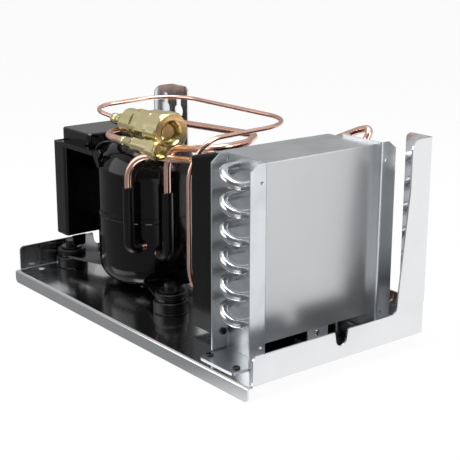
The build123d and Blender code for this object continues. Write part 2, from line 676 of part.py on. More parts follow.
def compressor_bowl():
    neck = SHELL_A - SHELL_WALL
    part = shell_blank(SHELL_A, SHELL_BOTTOM, SEAM_Z, BOWL_FILLET, 0)
    part += shell_blank(neck, SEAM_Z - 4, SEAM_Z + SEAM_LAP, 0, 0)
    part -= shell_blank(neck - SHELL_WALL, SHELL_BOTTOM + SHELL_WALL, SEAM_Z + SEAM_LAP + 1,
                        BOWL_FILLET - 2 * SHELL_WALL, 0)
    for path, r in stub_paths():
        part -= rod(path[0], path[1], r)
    for x, y in spring_places():
        part += rod((x, y, SHELL_BOTTOM + SHELL_WALL - 1), (x, y, SPRING_SEAT_Z), 5.4)
    return part


def compressor_lid():
    neck = SHELL_A - SHELL_WALL
    part = shell_blank(SHELL_A, SEAM_Z, SHELL_TOP, 0, LID_FILLET)
    part += shell_blank(SHELL_A + 1.0, SEAM_Z, SEAM_Z + 2.5, 0, 0)
    part -= shell_blank(neck, SEAM_Z - 1, SHELL_TOP - SHELL_WALL, 0, LID_FILLET - SHELL_WALL)
    return part


def foot_places():
    return [(COMP_X + sx * FOOT_PITCH_X / 2, COMP_Y + sy * FOOT_PITCH_Y / 2)
            for sx in (-1, 1) for sy in (-1, 1)]


def compressor_base():
    """A bar under each pair of feet, with two arms that are welded to the bowl's side."""
    hx = FOOT_PITCH_X / 2
    hy = FOOT_PITCH_Y / 2
    part = None
    for sx in (-1, 1):
        for sy in (-1, 1):
            foot = Pos(COMP_X + sx * hx, COMP_Y + sy * hy) * Circle(BASE_ARM / 2 + 1)
            run_x, run_y = hx - 26, hy - 14
            angle = math.degrees(math.atan2(sy * run_y, sx * run_x))
            arm = Pos(COMP_X + sx * (hx - run_x / 2), COMP_Y + sy * (hy - run_y / 2)) * Rot(0, 0, angle) * (
                Rectangle(math.hypot(run_x, run_y), BASE_ARM))
            part = foot + arm if part is None else part + foot + arm
        bar = Pos(COMP_X + sx * (hx - 30), COMP_Y) * Rectangle(10, 2 * hy - 20)
        part += bar
    part = along_z(part, BASE_Z, BASE_TOP)
    part -= shell_blank(SHELL_A, SHELL_BOTTOM, SHELL_TOP, BOWL_FILLET, LID_FILLET)
    for x, y in foot_places():
        part -= Pos(x, y, BASE_Z) * Cylinder(GROMMET_NECK_R, 12)
    return part


def grommets():
    parts = []
    for x, y in foot_places():
        lower = Cylinder(GROMMET_R, BASE_Z - FLOOR, align=(Align.CENTER, Align.CENTER, Align.MIN))
        lower = fillet(lower.edges().filter_by(GeomType.CIRCLE), 1.5)
        neck = Pos(0, 0, BASE_Z - FLOOR - 1) * Cylinder(GROMMET_NECK_R, BASE_SHEET + 2,
                                                         align=(Align.CENTER, Align.CENTER, Align.MIN))
        lip = Pos(0, 0, BASE_TOP - FLOOR) * Cylinder(GROMMET_LIP_R, GROMMET_LIP,
                                                          align=(Align.CENTER, Align.CENTER, Align.MIN))
        lip = fillet(lip.edges().filter_by(GeomType.CIRCLE), 1.2)
        part = Pos(x, y, FLOOR) * (lower + neck + lip)
        parts.append(part - Pos(x, y, FLOOR) * Cylinder(SLEEVE_R, 100))
    return parts


SLEEVE_TOP = BASE_TOP + GROMMET_LIP + 0.5


def grommet_sleeves():
    parts = []
    for x, y in foot_places():
        parts.append(along_z(Pos(x, y) * (Circle(SLEEVE_R) - Circle(BOLT_R)), FLOOR, SLEEVE_TOP))
    return parts


def compressor_bolts():
    parts = []
    for x, y in foot_places():
        head = along_z(Pos(x, y) * RegularPolygon(BOLT_HEAD_R, 6), SLEEVE_TOP + 1.5, SLEEVE_TOP + 1.5 + BOLT_HEAD)
        washer = along_z(Pos(x, y) * Circle(10.0), SLEEVE_TOP, SLEEVE_TOP + 1.5)
        shank = rod((x, y, FLOOR - 7.0), (x, y, SLEEVE_TOP + 1), BOLT_R)
        parts.append(head + washer + shank)
    return parts


def compressor_nuts():
    parts = []
    for x, y in foot_places():
        parts.append(along_z(Pos(x, y) * (RegularPolygon(5.5, 6) - Circle(BOLT_R)), FLOOR - SHEET - 4.5,
                             FLOOR - SHEET))
    return parts


# inside the shell
MOTOR_Z0 = SHELL_BOTTOM + 18
SPRING_SEAT_Z = SHELL_BOTTOM + 10.5
MOTOR_Z1 = MOTOR_Z0 + 34
ROTOR_R = 18.0
ROTOR_GAP = 0.6
CRANK_R = 7.0


def motor_stator():
    """A squarish laminated stack with its two copper winding heads."""
    core = RectangleRounded(66, 66, 14) - Circle(ROTOR_R + ROTOR_GAP)
    part = along_z(Pos(COMP_X, COMP_Y) * core, MOTOR_Z0, MOTOR_Z1)
    return part


def motor_windings():
    ring = Pos(COMP_X, COMP_Y) * (Circle(27.5) - Circle(ROTOR_R + 3))
    lower = along_z(ring, MOTOR_Z0 - 8, MOTOR_Z0)
    upper = along_z(ring, MOTOR_Z1, MOTOR_Z1 + 8)
    return [lower, upper]


def motor_rotor():
    ring = Pos(COMP_X, COMP_Y) * (Circle(ROTOR_R) - Circle(CRANK_R))
    return along_z(ring, MOTOR_Z0 - 1, MOTOR_Z1 + 1)


BLOCK_Z0 = MOTOR_Z1 + 10
BLOCK_Z1 = BLOCK_Z0 + 14
CYLINDER_Z = BLOCK_Z1 + 10


def crankshaft():
    part = along_z(Pos(COMP_X, COMP_Y) * Circle(CRANK_R), MOTOR_Z0 - 10, BLOCK_Z1 + 1.0)
    part += along_z(Pos(COMP_X + 2, COMP_Y) * Circle(11.0), BLOCK_Z1 + 0.5, BLOCK_Z1 + 4.5)
    part += along_z(Pos(COMP_X + 5.0, COMP_Y) * Circle(5.0), BLOCK_Z1 + 4, BLOCK_Z1 + 17)
    return part


def pump_block():
    """The cast pump block: bearing boss, deck and cylinder."""
    deck = Pos(COMP_X, COMP_Y) * RectangleRounded(64, 54, 10)
    part = along_z(deck, BLOCK_Z0, BLOCK_Z1 - 4)
    part += along_z(Pos(COMP_X, COMP_Y) * Circle(12.0), BLOCK_Z0 - 2, BLOCK_Z1)
    part += box(COMP_X - 32, COMP_X - 14, COMP_Y - 15, COMP_Y + 15, BLOCK_Z0, CYLINDER_Z + 14)
    part -= rod((COMP_X - 40, COMP_Y, CYLINDER_Z), (COMP_X, COMP_Y, CYLINDER_Z), 10.0)
    part -= along_z(Pos(COMP_X, COMP_Y) * Circle(CRANK_R + FAN_RUNNING_GAP), BLOCK_Z0 - 3, BLOCK_Z1 + 1)
    return part


def cylinder_head():
    return box(COMP_X - 38, COMP_X - 32, COMP_Y - 15, COMP_Y + 15, BLOCK_Z1 - 4, CYLINDER_Z + 14)


def piston():
    part = rod((COMP_X - 29, COMP_Y, CYLINDER_Z), (COMP_X - 15, COMP_Y, CYLINDER_Z), 9.95)
    rod_face = Pos(COMP_X + 5.0, COMP_Y) * (Circle(8.5) - Circle(5.05))
    arm = along_z(rod_face, CYLINDER_Z - 3.5, CYLINDER_Z + 3.5)
    arm += box(COMP_X - 16, COMP_X - 2.2, COMP_Y - 3, COMP_Y + 3, CYLINDER_Z - 3, CYLINDER_Z + 3)
    return part + arm


def spring_places():
    return [(COMP_X + sx * 26, COMP_Y + sy * 22) for sx in (-1, 1) for sy in (-1, 1)]


def suspension_springs():
    parts = []
    z0 = SPRING_SEAT_Z
    height = MOTOR_Z0 - z0
    for x, y in spring_places():
        path = Helix(pitch=(height - 1.6) / 3, height=height - 1.6, radius=4.5)
        section = Plane(origin=path @ 0, z_dir=path % 0) * Circle(0.8)
        coil = Pos(x, y, z0 + 0.8) * sweep(section, path=path)
        parts.append(coil)
    return parts


# ---------------------------------------------------------------- control unit
def controller_body():
    x0 = BODY_LEFT
    x1 = BODY_LEFT + BODY_THICK
    y0 = BODY_FRONT_Y
    y1 = BODY_FRONT_Y + BODY_WIDTH
    part = box(x0, x1, y0, y1, BODY_BOTTOM, BODY_TOP)
    part = fillet(part.edges().filter_by(Axis.Z), 3.0)
    part = fillet(part.faces().sort_by(Axis.Z)[0].edges(), 1.5)
    inner = box(x0 + 2.2, x1 - 2.2, y0 + 2.2, y1 - 2.2, BODY_BOTTOM + 2.2, BODY_TOP + 1)
    part -= inner
    # cooling ribs on the outer face
    for k in range(9):
        y = y0 + 12 + k * 7.5
        part -= box(x0 - 1, x0 + 1.0, y, y + 3.2, BODY_BOTTOM + 10, BODY_TOP - 14)
    return part


def controller_board():
    x = BODY_LEFT + BODY_THICK / 2
    y0 = BODY_FRONT_Y + 2.2
    y1 = BODY_FRONT_Y + BODY_WIDTH - 2.2
    return box(x - 0.8, x + 0.8, y0, y1, BODY_BOTTOM + 2.2, BODY_TOP - 3)


def controller_cap():
    x0 = BODY_LEFT + 2
    y0 = CAP_FRONT_Y
    y1 = CAP_FRONT_Y + CAP_WIDTH
    part = box(x0, CAP_RIGHT, y0, y1, BODY_TOP, CAP_TOP)
    part = fillet(part.edges().filter_by(Axis.Z), 4.0)
    part = chamfer(part.faces().sort_by(Axis.Z)[-1].edges(), 1.2)
    part -= box(x0 + 2, CAP_RIGHT - 2, y0 + 2, y1 - 2, BODY_TOP - 1, CAP_TOP - 2.2)
    return part


def controller_rail():
    """The connector rail along the front of the cap."""
    y1 = CAP_FRONT_Y
    part = box(BODY_LEFT + 14, RAIL_RIGHT, RAIL_FRONT_Y, RAIL_FRONT_Y + 6, BODY_TOP - 3, BODY_TOP + 1.5)
    part = fillet(part.edges().filter_by(Axis.Z), 1.5)
    part += box(BODY_LEFT + 14, CAP_RIGHT - 4, RAIL_FRONT_Y + 5, y1, BODY_TOP, BODY_TOP + 1.5)
    return part - box(BODY_LEFT + 10, BODY_LEFT + BODY_THICK, BODY_FRONT_Y, y1 + 1, BODY_TOP - 4, BODY_TOP)


def terminal_cover():
    x0 = BODY_LEFT + BODY_THICK
    part = box(x0, COMP_X - SHELL_A + 12, COMP_Y - 20, COMP_Y + 20, 64.0, 112.0)
    part = fillet(part.edges().filter_by(Axis.X), 4.0)
    part -= shell_blank(SHELL_A, SHELL_BOTTOM, SHELL_TOP, BOWL_FILLET, LID_FILLET)
    part -= shell_blank(SHELL_A + 1.0, SEAM_Z, SEAM_Z + 2.5, 0, 0)
    part -= box(x0 + 2.5, COMP_X - SHELL_A - 4, COMP_Y - 17, COMP_Y + 17, 67.0, 109.0)
    return part


# ---------------------------------------------------------------- couplings
def coupling_body(tail_x, neck_x, end_x, y, z, radii, bore, guide_x, stem_bore):
    """The fixed half: a stepped brass body that carries the poppet."""
    tail_r, cone_r, barrel_r, collar_r, neck_r, lip_r = radii
    length = neck_x - tail_x
    profile = [(0, 0), (0, tail_r), (0.075 * length, tail_r), (0.10 * length, tail_r * 0.86),
               (0.17 * length, tail_r * 0.95), (0.40 * length, cone_r), (0.415 * length, cone_r - 1.0),
               (0.445 * length, cone_r - 1.0), (0.46 * length, barrel_r), (0.71 * length, barrel_r),
               (0.73 * length, collar_r), (length, collar_r), (length, neck_r),
               (end_x - tail_x - 4.0, neck_r), (end_x - tail_x - 4.0, lip_r), (end_x - tail_x, lip_r),
               (end_x - tail_x, 0)]
    part = turned(profile, (tail_x, y, z))
    chamber = rod((tail_x + 0.5 * length, y, z), (end_x + 1, y, z), bore)
    channel = rod((tail_x - 1, y, z), (end_x, y, z), tail_r * 0.45)
    guide = rod((guide_x, y, z), (guide_x + 2, y, z), bore) - rod((guide_x - 1, y, z), (guide_x + 3, y, z), stem_bore)
    for k in range(3):
        a = math.radians(120 * k + 30)
        mid = (bore + stem_bore) / 2
        hole = (bore - stem_bore) * 0.3
        gy, gz = y + mid * math.cos(a), z + mid * math.sin(a)
        guide -= rod((guide_x - 1, gy, gz), (guide_x + 3, gy, gz), hole)
    return part - chamber - channel + guide


def upper_body():
    x0 = UPPER_MOUTH_X - 92
    part = coupling_body(x0, UPPER_MOUTH_X - 34, UPPER_MOUTH_X - 17, UPPER_Y, UPPER_Z,
                         (5.2, 11.5, 13.2, 14.6, 11.0, 12.4), 9.6, UPPER_MOUTH_X - 48, 2.7)
    flats = hexagon_x(26.5, UPPER_MOUTH_X - 47, UPPER_MOUTH_X - 41, UPPER_Y, UPPER_Z)
    band = along_x(Pos(UPPER_Y, UPPER_Z) * (Circle(16) - Circle(9.9)), UPPER_MOUTH_X - 47, UPPER_MOUTH_X - 41)
    part -= band - flats
    socket = rod((x0 - 1, UPPER_Y, UPPER_Z), (x0 + 8, UPPER_Y, UPPER_Z), THIN_PIPE_R)
    return part - socket


def upper_nut():
    mouth = UPPER_MOUTH_X
    part = hexagon_x(31.0, mouth - 33.5, mouth - 20, UPPER_Y, UPPER_Z)
    part += along_x(Pos(UPPER_Y, UPPER_Z) * Circle(17.2), mouth - 21, mouth)
    part = chamfer(part.faces().sort_by(Axis.X)[-1].edges(), 0.8)
    part -= rod((mouth - 40, UPPER_Y, UPPER_Z), (mouth + 1, UPPER_Y, UPPER_Z), 11.0 + 0.08)
    part -= rod((mouth - 21.4, UPPER_Y, UPPER_Z), (mouth + 1, UPPER_Y, UPPER_Z), 12.4 + NUT_GAP)
    part -= rod((mouth - UPPER_SOCKET, UPPER_Y, UPPER_Z), (mouth + 1, UPPER_Y, UPPER_Z), 13.5)
    return part


def poppet(x_face, y, z, disc_r, disc, stem_r, stem):
    part = rod((x_face - disc, y, z), (x_face, y, z), disc_r)
    part = chamfer(part.faces().sort_by(Axis.X)[-1].edges(), 0.6)
    return part + rod((x_face - disc - stem, y, z), (x_face - disc + 1, y, z), stem_r)


def coil_spring(x0, x1, y, z, r, wire, turns):
    span = x1 - x0 - 2 * wire
    path = Helix(pitch=span / turns, height=span, radius=r)
    section = Plane(origin=path @ 0, z_dir=path % 0) * Circle(wire)
    coil = sweep(section, path=path)
    return Pos(x0 + wire, y, z) * Rot(0, 90, 0) * coil


def lower_body():
    x0 = LOWER_MOUTH_X - 61
    part = coupling_body(x0, LOWER_MOUTH_X - 14, LOWER_MOUTH_X - 5.5, LOWER_Y, LOWER_Z,
                         (4.0, 5.4, 5.6, 6.4, 4.6, 5.4), 3.6, LOWER_MOUTH_X - 25, 1.5)
    socket = rod((x0 - 1, LOWER_Y, LOWER_Z), (x0 + 8, LOWER_Y, LOWER_Z), THICK_PIPE_R)
    return part - socket


def lower_nut():
    mouth = LOWER_MOUTH_X
    part = hexagon_x(16.0, mouth - 13.6, mouth - 3, LOWER_Y, LOWER_Z)
    part += along_x(Pos(LOWER_Y, LOWER_Z) * Circle(7.6), mouth - 4, mouth)
    part -= rod((mouth - 20, LOWER_Y, LOWER_Z), (mouth + 1, LOWER_Y, LOWER_Z), 4.6 + 0.08)
    part -= rod((mouth - 9.9, LOWER_Y, LOWER_Z), (mouth + 1, LOWER_Y, LOWER_Z), 5.4 + NUT_GAP)
    part -= rod((mouth - LOWER_SOCKET, LOWER_Y, LOWER_Z), (mouth + 1, LOWER_Y, LOWER_Z), 6.0)
    return part


# ---------------------------------------------------------------- pipes
LEFT_X, LEFT_Y = -38.5, -54.5
RIGHT_X, RIGHT_Y = -14.5, -29.0
LEFT_ELBOW_Z = 59.0
RIGHT_ELBOW_Z = 53.0
SLEEVE_TOP_LEFT = 117.0
SLEEVE_TOP_RIGHT = 113.0


def discharge_points():
    """From the shell's left connector, over to the rear of the coil's top tube."""
    a_x, a_z = tube_places()[0][0]
    end_y = REAR_PLATE_Y + PLATE_SHEET + TUBE_STUB
    return [(LEFT_X, -37.0, LEFT_ELBOW_Z), (LEFT_X, LEFT_Y, LEFT_ELBOW_Z), (LEFT_X, LEFT_Y, 148.0),
            (6.0, -30.5, 146.5), (47.0, -34.0, 152.0), (52.0, 66.0, 152.0), (64.0, 86.0, 156.0),
            (106.0, 87.0, 174.0), (a_x, 87.0, 178.0), (a_x, 79.0, a_z), (a_x, end_y, a_z)]


def suction_points():
    """From the lower coupling, round over the compressor, down to the right connector."""
    x0 = LOWER_MOUTH_X - 61
    return [(x0 + 8, LOWER_Y, LOWER_Z), (-93.0, LOWER_Y, LOWER_Z), (-98.0, 34.0, 158.0), (30.0, 36.0, 164.0),
            (54.0, 6.0, 164.5), (52.0, -27.0, 163.0), (RIGHT_X, RIGHT_Y, 153.0),
            (RIGHT_X, RIGHT_Y, RIGHT_ELBOW_Z), (-31.5, RIGHT_Y, RIGHT_ELBOW_Z)]


def liquid_points():
    """From the upper coupling, round over the tray, down and under the shroud to the coil outlet."""
    x0 = UPPER_MOUTH_X - 92
    b_x, b_z = tube_places()[-1][1]
    end_y = REAR_PLATE_Y + PLATE_SHEET + TUBE_STUB
    return [(x0 + 8, UPPER_Y, UPPER_Z), (-145.0, -28.0, 171.5), (-136.0, 64.0, 176.5), (56.0, 64.0, 176.5),
            (62.0, -42.0, 174.5), (52.0, -54.0, 150.0), (52.0, -54.0, 24.0), (52.0, 76.0, 24.0),
            (64.0, 88.0, 24.0), (b_x, 88.0, 24.0), (b_x, 88.0, b_z), (b_x, end_y, b_z)]


def stub_paths():
    return [(discharge_points(), THICK_PIPE_R), (list(reversed(suction_points())), THICK_PIPE_R)]


PIPE_BORE = 0.65


def copper(points, bend, r):
    return pipe(points, bend, r) - pipe(points, bend, r * PIPE_BORE)


def discharge_pipe():
    return copper(discharge_points(), 24.0, THICK_PIPE_R)


def suction_pipe():
    return copper(suction_points(), 24.0, THICK_PIPE_R)


def liquid_pipe():
    return copper(liquid_points(), 44.0, THIN_PIPE_R)


def pipe_sleeve(points, top):
    """A black insulating tube over the first elbow and upright of a pipe, up to the given height."""
    start, elbow, above = points[:3]
    radii = bend_radii(points, 24.0)[:1]
    run = [start, elbow, (above[0], above[1], top)]
    return pipe(run, 0, SLEEVE_PIPE_R, radii) - pipe(run, 0, THICK_PIPE_R, radii)


def discharge_sleeve():
    part = pipe_sleeve(discharge_points(), SLEEVE_TOP_LEFT)
    return part - box(LEFT_X - 10, LEFT_X + 10, LEFT_Y + 11, 0, 40, 70)


def suction_sleeve():
    part = pipe_sleeve(list(reversed(suction_points())), SLEEVE_TOP_RIGHT)
    return part - box(-60, RIGHT_X - 12.5, RIGHT_Y - 10, RIGHT_Y + 10, 40, 70)


# ---------------------------------------------------------------- export
def export(shape, name):
    """Write one node; a list of solids becomes one compound."""
    if isinstance(shape, (list, tuple)):
        shape = Compound(children=list(shape))
    export_step(shape, f"parts/{name}.step")


UPPER_SEAT_X = UPPER_MOUTH_X - 17
LOWER_SEAT_X = LOWER_MOUTH_X - 5.5
PARTS = {
    "tray": tray,
    "coil_end_plate_front": lambda: end_plate(-1),
    "coil_end_plate_rear": lambda: end_plate(1),
    "coil_fin_pack": fin_pack,
    "coil_hairpins": hairpins,
    "coil_return_bends": return_bends,
    "coil_foot_screws": coil_foot_screws,
    "coil_top_cover": top_cover,
    "support_bracket": support_bracket,
    "support_bracket_screw": support_bracket_screw,
    "fan_shroud": fan_shroud,
    "shroud_screws": shroud_screws,
    "fan_frame": fan_frame,
    "fan_bearings": fan_bearings,
    "fan_stator": fan_stator,
    "fan_rotor": fan_rotor,
    "fan_magnet": fan_magnet,
    "fan_shaft": fan_shaft,
    "fan_guard": fan_guard,
    "fan_screws": fan_screws,
    "compressor_bowl": compressor_bowl,
    "compressor_lid": compressor_lid,
    "compressor_base": compressor_base,
    "compressor_grommets": grommets,
    "grommet_sleeves": grommet_sleeves,
    "compressor_bolts": compressor_bolts,
    "compressor_nuts": compressor_nuts,
    "motor_stator": motor_stator,
    "motor_windings": motor_windings,
    "motor_rotor": motor_rotor,
    "crankshaft": crankshaft,
    "pump_block": pump_block,
    "cylinder_head": cylinder_head,
    "piston": piston,
    "suspension_springs": suspension_springs,
    "terminal_cover": terminal_cover,
    "controller_body": controller_body,
    "controller_board": controller_board,
    "controller_cap": controller_cap,
    "controller_rail": controller_rail,
    "upper_coupling_body": upper_body,
    "upper_coupling_nut": upper_nut,
    "upper_coupling_poppet": lambda: poppet(UPPER_SEAT_X + 2.0, UPPER_Y, UPPER_Z, 9.3, 5.0, 2.4, 27.0),
    "upper_coupling_spring": lambda: coil_spring(UPPER_MOUTH_X - 46, UPPER_SEAT_X - 3, UPPER_Y, UPPER_Z,
                                                 5.5, 0.8, 5),
    "lower_coupling_body": lower_body,
    "lower_coupling_nut": lower_nut,
    "lower_coupling_poppet": lambda: poppet(LOWER_SEAT_X + 1.0, LOWER_Y, LOWER_Z, 3.3, 3.0, 1.2, 17.0),
    "lower_coupling_spring": lambda: coil_spring(LOWER_MOUTH_X - 23, LOWER_SEAT_X - 2, LOWER_Y, LOWER_Z,
                                                 2.2, 0.4, 6),
    "discharge_pipe": discharge_pipe,
    "suction_pipe": suction_pipe,
    "liquid_pipe": liquid_pipe,
    "discharge_sleeve": discharge_sleeve,
    "suction_sleeve": suction_sleeve,
}
os.makedirs("parts", exist_ok=True)
for name, maker in PARTS.items():
    export(maker(), name)
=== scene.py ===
"""Looks, light and camera for the condensing unit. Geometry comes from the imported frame."""
import json
import math

import bpy
from mathutils import Matrix, Vector


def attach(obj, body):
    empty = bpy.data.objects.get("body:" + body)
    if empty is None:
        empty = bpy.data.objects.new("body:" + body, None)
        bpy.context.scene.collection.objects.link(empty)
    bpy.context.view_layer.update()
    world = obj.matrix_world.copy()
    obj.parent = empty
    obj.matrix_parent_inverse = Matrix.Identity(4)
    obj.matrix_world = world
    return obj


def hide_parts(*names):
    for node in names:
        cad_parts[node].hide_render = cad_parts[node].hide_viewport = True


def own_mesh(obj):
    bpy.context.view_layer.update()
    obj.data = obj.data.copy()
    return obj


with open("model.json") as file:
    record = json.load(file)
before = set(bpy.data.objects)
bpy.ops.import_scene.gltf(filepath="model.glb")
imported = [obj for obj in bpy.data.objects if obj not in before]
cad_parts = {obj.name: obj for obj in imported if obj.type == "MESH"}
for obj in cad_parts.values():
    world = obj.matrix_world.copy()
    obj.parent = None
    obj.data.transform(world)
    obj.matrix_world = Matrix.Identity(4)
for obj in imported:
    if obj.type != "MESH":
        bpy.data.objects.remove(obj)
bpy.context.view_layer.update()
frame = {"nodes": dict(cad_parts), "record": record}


# ---------------------------------------------------------------- colours and nodes
def srgb(code):
    """A linear RGBA colour from a hex code."""
    out = []
    for k in (0, 2, 4):
        v = int(code[k:k + 2], 16) / 255
        out.append(v / 12.92 if v <= 0.04045 else ((v + 0.055) / 1.055) ** 2.4)
    return (*out, 1.0)


def add(tree, kind, links=(), **settings):
    """A node with its settings, and links given as (from socket, input name)."""
    node = tree.nodes.new(kind)
    for key, value in settings.items():
        if key.startswith("in_"):
            key = key[3:]
            node.inputs[int(key) if key.isdigit() else key.replace("_", " ")].default_value = value
        else:
            setattr(node, key, value)
    for socket, name in links:
        tree.links.new(socket, node.inputs[name])
    return node


DRIFT_FROM, DRIFT_TO = 0.40, 0.72  # noise levels between which a finish drifts from colour to tint
GRAIN_DEPTH, BAND_DEPTH = 0.0003, 0.0004  # metres, at a strength of 1
BAND_PITCH = 0.314  # metres from one band to the next, at a texture scale of 1


def finish(name, colour, metallic, rough, *, tint, specular=0.5, tint_scale=25.0, grain=(1, 1, 1),
           grain_scale=300.0, grain_rough=0.04, relief=0.05, bands=None):
    """A finish with a main colour that drifts towards tint, a grain that changes roughness and relief,
    and optional parallel bands given as (axis, pitch in metres, strength)."""
    mat = bpy.data.materials.new(name)
    mat.use_nodes = True
    tree = mat.node_tree
    shader = tree.nodes["Principled BSDF"]
    shader.inputs["Metallic"].default_value = metallic
    shader.inputs["Specular IOR Level"].default_value = specular
    place = add(tree, "ShaderNodeTexCoord")
    # slow drift of colour, from handling and uneven polish
    drift = add(tree, "ShaderNodeTexNoise", [(place.outputs["Object"], "Vector")], in_Scale=tint_scale,
                in_Detail=4.0)
    share = add(tree, "ShaderNodeMapRange", [(drift.outputs["Fac"], "Value")],
                interpolation_type="SMOOTHSTEP", in_From_Min=DRIFT_FROM, in_From_Max=DRIFT_TO)
    blend = add(tree, "ShaderNodeMix", [(share.outputs["Result"], 0)], data_type="RGBA",
                in_6=srgb(colour), in_7=srgb(tint))
    tree.links.new(blend.outputs[2], shader.inputs["Base Color"])
    # fine grain, drawn out along the rolling or brushing direction
    stretch = add(tree, "ShaderNodeMapping", [(place.outputs["Object"], "Vector")], in_Scale=grain)
    fine = add(tree, "ShaderNodeTexNoise", [(stretch.outputs["Vector"], "Vector")], in_Scale=grain_scale,
               in_Detail=5.0)
    spread = add(tree, "ShaderNodeMapRange", [(fine.outputs["Fac"], "Value")],
                 in_To_Min=rough - grain_rough, in_To_Max=rough + grain_rough)
    tree.links.new(spread.outputs["Result"], shader.inputs["Roughness"])
    bump = add(tree, "ShaderNodeBump", [(fine.outputs["Fac"], "Height")], in_Strength=relief,
               in_Distance=GRAIN_DEPTH)
    if bands:
        axis, pitch, strength = bands
        wave = add(tree, "ShaderNodeTexWave", [(place.outputs["Object"], "Vector")], wave_type="BANDS",
                   bands_direction=axis, wave_profile="SIN", in_Scale=BAND_PITCH / pitch)
        bump = add(tree, "ShaderNodeBump",
                   [(wave.outputs["Fac"], "Height"), (bump.outputs["Normal"], "Normal")],
                   in_Strength=strength, in_Distance=BAND_DEPTH)
    tree.links.new(bump.outputs["Normal"], shader.inputs["Normal"])
    return mat


LOOKS = {
    # polished stainless sheet, with faint rolling lines along its length
    "tray_steel": finish("polished stainless sheet", "E9EAEC", 1.0, 0.15, tint="DFE1E4", tint_scale=12.0,
                         grain=(0.03, 1, 1), grain_scale=900.0, grain_rough=0.03, relief=0.006),
    # zinc-plated steel, slightly dull, rolled upright
    "plate_steel": finish("zinc-plated steel", "D6D9DB", 1.0, 0.31, tint="C7CBCE", tint_scale=30.0,
                          grain=(1, 1, 0.06), grain_scale=800.0, grain_rough=0.03, relief=0.015),
    # stacked aluminium fins, satin, with their edges side by side
    "fin_aluminium": finish("aluminium fin stock", "C3C4C5", 1.0, 0.30, tint="B9BBBD", tint_scale=9.0,
                            grain_scale=1500.0, grain_rough=0.03, relief=0.015, bands=("Y", 0.0016, 0.03)),
    # drawn aluminium tube, bright, with a faint matt grain
    "tube_aluminium": finish("drawn aluminium tube", "D6D7D9", 1.0, 0.19, tint="C4C6C9", tint_scale=60.0,
                             grain_scale=500.0, grain_rough=0.03, relief=0.02),
    # blackened steel, with a greyer bloom in patches
    "black_screw": finish("blackened steel", "0B0B0C", 0.0, 0.22, tint="171719", tint_scale=300.0,
                          grain_scale=1500.0, relief=0.06),
    # injection-moulded housing with a fine spark texture
    "black_plastic": finish("black moulded plastic", "040404", 0.0, 0.16, specular=0.22, tint="070708",
                            grain_scale=1800.0, grain_rough=0.05, relief=0.08),
    # pressed ferrite, dull, with a powdery grain
    "magnet": finish("bonded ferrite", "2A2A2A", 0.0, 0.7, tint="343434", grain_scale=1200.0, relief=0.2),
    # chromed steel wire, clouded in patches
    "wire_chrome": finish("chromed steel wire", "C4C5C7", 1.0, 0.12, tint="A9ABAE", tint_scale=80.0),
    # stoved gloss enamel over deep-drawn steel, with a slight orange peel
    "black_paint": finish("black gloss enamel", "060606", 0.0, 0.12, specular=0.35, tint="090909",
                          tint_scale=18.0, grain_scale=220.0, grain_rough=0.02, relief=0.035),
    # moulded rubber, with a soft sheen and a fine grain
    "rubber": finish("black rubber", "060606", 0.0, 0.30, specular=0.3, tint="0B0B0B", tint_scale=60.0,
                     grain_scale=1400.0, grain_rough=0.08, relief=0.12),
    # plated steel of bolts and springs, with darker patches
    "bolt_steel": finish("plated fastener steel", "B4B4B2", 1.0, 0.25, tint="9C9C9A", tint_scale=120.0),
    # drawn copper tube, bright, with a little darker oxide in places
    "copper": finish("bright copper tube", "F0C6B6", 1.0, 0.24, tint="E4B3A0", tint_scale=35.0,
                     grain_scale=600.0, grain_rough=0.03, relief=0.02),
    # iron cast in sand, dull and coarse
    "cast_iron": finish("grey cast iron", "4A4A4A", 0.8, 0.6, tint="3A3A3A", grain_scale=500.0, relief=0.4),
    # moulded gloss housing of the control unit
    "black_gloss": finish("gloss black plastic", "060606", 0.0, 0.10, tint="0A0A0A", grain_scale=260.0,
                          grain_rough=0.02, relief=0.03),
    # green resist over laminate, satin, uneven in colour
    "board": finish("green circuit board", "1E5A36", 0.0, 0.5, tint="174A2B", tint_scale=90.0),
    # turned brass, with fine tool rings round its axis
    "brass": finish("turned brass", "EADFAE", 1.0, 0.22, tint="E6DAA4", tint_scale=25.0,
                    grain=(1, 0.1, 0.1), grain_scale=900.0, grain_rough=0.03, relief=0.015),
}

slots = {p["node"]: p["material_slot"] for p in frame["record"]["subparts"]}
slots["support_bracket_screw"] = "bolt_steel"  # this screw is plated, not blackened
for name, obj in frame["nodes"].items():
    obj.data.materials.clear()
    obj.data.materials.append(LOOKS[slots[name]])

# ---------------------------------------------------------------- camera
camera_data = bpy.data.cameras.new("camera")
camera_data.sensor_width = 36.0
camera_data.lens = 87.67
camera_data.clip_start = 0.05
camera = bpy.data.objects.new("camera", camera_data)
bpy.context.collection.objects.link(camera)
yaw, pitch, roll = math.radians(51.686), math.radians(15.949), math.radians(0.117)
camera.matrix_world = (Matrix.Translation((0.7750, -0.5819, 0.3538)) @ Matrix.Rotation(yaw, 4, "Z")
                       @ Matrix.Rotation(math.pi / 2 - pitch, 4, "X") @ Matrix.Rotation(roll, 4, "Z"))
bpy.context.scene.camera = camera
bpy.context.scene.view_settings.view_transform = "Standard"


# ---------------------------------------------------------------- light
def lamp(name, spot, target, width, height, power):
    """A soft rectangular lamp aimed at a point."""
    data = bpy.data.lights.new(name, "AREA")
    data.shape = "RECTANGLE"
    data.size, data.size_y, data.energy = width, height, power
    obj = bpy.data.objects.new(name, data)
    bpy.context.collection.objects.link(obj)
    obj.location = spot
    obj.rotation_euler = (Vector(target) - Vector(spot)).to_track_quat("-Z", "Y").to_euler()


